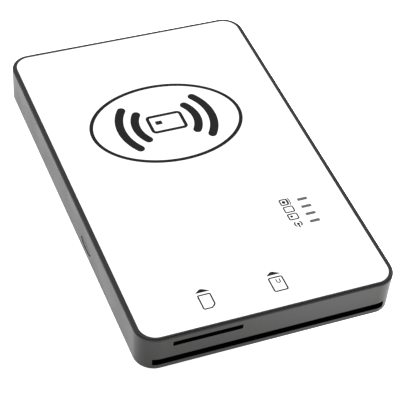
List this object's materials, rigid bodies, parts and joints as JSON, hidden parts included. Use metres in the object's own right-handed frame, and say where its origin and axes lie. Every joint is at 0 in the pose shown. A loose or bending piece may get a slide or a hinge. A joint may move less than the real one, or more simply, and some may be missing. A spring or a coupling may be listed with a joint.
{
  "type": "ticket validator",
  "caption": "Pocket contactless ticket and card validator: white printed face in a slim grey case, wide card slot and short module slot in the front edge, status lights, side power button.",
  "frame": {"origin": "centre of the underside, the face the object lies on", "axes": "+X to the right of the printed face, +Y away from the slotted front edge along the length, +Z out of the printed face"},
  "size_m": [0.0612, 0.097, 0.0094],
  "materials": {
    "case_grey": "satin grey moulded plastic",
    "trim_dark": "dark grey semi-gloss border",
    "panel_white": "smooth white printed sheet",
    "clear_lens": "smoky translucent light pipe",
    "led_body": "pale LED body",
    "board_green": "green solder resist",
    "ferrite": "dark ferrite-loaded sheet",
    "foil": "silver pouch foil",
    "foam": "black foam tape",
    "connector_black": "black glass-filled plastic",
    "connector_cream": "cream glass-filled plastic",
    "gold": "gold-plated spring strip",
    "steel": "bright sheet steel",
    "chip_black": "black epoxy package",
    "wire_red": "red insulation",
    "wire_black": "black insulation",
    "label_paper": "blank pale label"
  },
  "bodies": {
    "case": {"rear_case": "case_grey", "top_cover": "trim_dark", "front_panel": "panel_white", "case_screw_1": "steel", "case_screw_2": "steel", "case_screw_3": "steel", "case_screw_4": "steel", "rear_label": "label_paper", "status_light_1": "clear_lens", "status_led_1": "led_body", "status_light_2": "clear_lens", "status_led_2": "led_body", "status_light_3": "clear_lens", "status_led_3": "led_body", "status_light_4": "clear_lens", "status_led_4": "led_body", "main_board": "board_green", "main_chip": "chip_black", "reader_chip": "chip_black", "crystal": "steel", "buzzer": "connector_black", "radio_module": "steel", "antenna_board": "board_green", "ferrite_sheet": "ferrite", "antenna_pin_1": "gold", "antenna_pin_2": "gold", "battery_cell": "foil", "battery_pad": "foam", "battery_socket": "connector_cream", "battery_plug": "connector_cream", "battery_lead_positive": "wire_red", "battery_lead_negative": "wire_black", "card_connector": "connector_black", "card_switch": "connector_black", "module_base": "connector_black", "module_shell": "steel", "power_switch": "connector_black", "charging_port": "steel", "charging_tongue": "connector_black"},
    "power_button": {"power_button": "case_grey"},
    "switch_plunger": {"switch_plunger": "connector_cream"},
    "card_contacts_front": {"card_contact_1": "gold", "card_contact_2": "gold", "card_contact_3": "gold", "card_contact_4": "gold"},
    "card_contacts_rear": {"card_contact_5": "gold", "card_contact_6": "gold", "card_contact_7": "gold", "card_contact_8": "gold"},
    "card_lever": {"card_lever": "connector_cream"},
    "module_slider": {"module_slider": "connector_cream"},
    "module_contacts_front": {"module_contact_1": "gold", "module_contact_2": "gold", "module_contact_3": "gold"},
    "module_contacts_rear": {"module_contact_4": "gold", "module_contact_5": "gold", "module_contact_6": "gold"}
  },
  "joints": [
    {"name": "power_button_press", "type": "slide", "parent": "case", "child": "power_button", "axis": [1, 0, 0], "range_m": [0, 0.00035], "stiffness_N_per_m": 4000, "springref_m": -0.0001},
    {"name": "switch_plunger_press", "type": "slide", "parent": "case", "child": "switch_plunger", "axis": [1, 0, 0], "range_m": [0, 0.00035]},
    {"name": "card_contacts_front_lift", "type": "hinge", "parent": "case", "child": "card_contacts_front", "pos_m": [0.0031, -0.02702, 0.00297], "axis": [1, 0, 0], "range_deg": [0, 5], "stiffness_Nm_per_rad": 0.05, "springref_deg": -2.86},
    {"name": "card_contacts_rear_lift", "type": "hinge", "parent": "case", "child": "card_contacts_rear", "pos_m": [0.0031, -0.0194, 0.00297], "axis": [1, 0, 0], "range_deg": [0, 5]},
    {"name": "card_lever_swing", "type": "hinge", "parent": "case", "child": "card_lever", "pos_m": [-0.012, -0.0016, 0.0021], "axis": [0, 0, 1], "range_deg": [0, 18], "stiffness_Nm_per_rad": 0.002, "springref_deg": -5.73},
    {"name": "module_slider_push", "type": "slide", "parent": "case", "child": "module_slider", "axis": [0, 1, 0], "range_m": [0, 0.003], "stiffness_N_per_m": 300, "springref_m": -0.0005},
    {"name": "module_contacts_front_press", "type": "hinge", "parent": "case", "child": "module_contacts_front", "pos_m": [-0.0151, -0.0402, 0.00647], "axis": [1, 0, 0], "range_deg": [-7, 0], "stiffness_Nm_per_rad": 0.03, "springref_deg": 2.86},
    {"name": "module_contacts_rear_press", "type": "hinge", "parent": "case", "child": "module_contacts_rear", "pos_m": [-0.0151, -0.03258, 0.00647], "axis": [1, 0, 0], "range_deg": [-7, 0]}
  ],
  "couplings": [
    {"joint": "switch_plunger_press", "follows": "power_button_press", "ratio": 1},
    {"joint": "card_contacts_rear_lift", "follows": "card_contacts_front_lift", "ratio": 1},
    {"joint": "module_contacts_rear_press", "follows": "module_contacts_front_press", "ratio": 1}
  ]
}
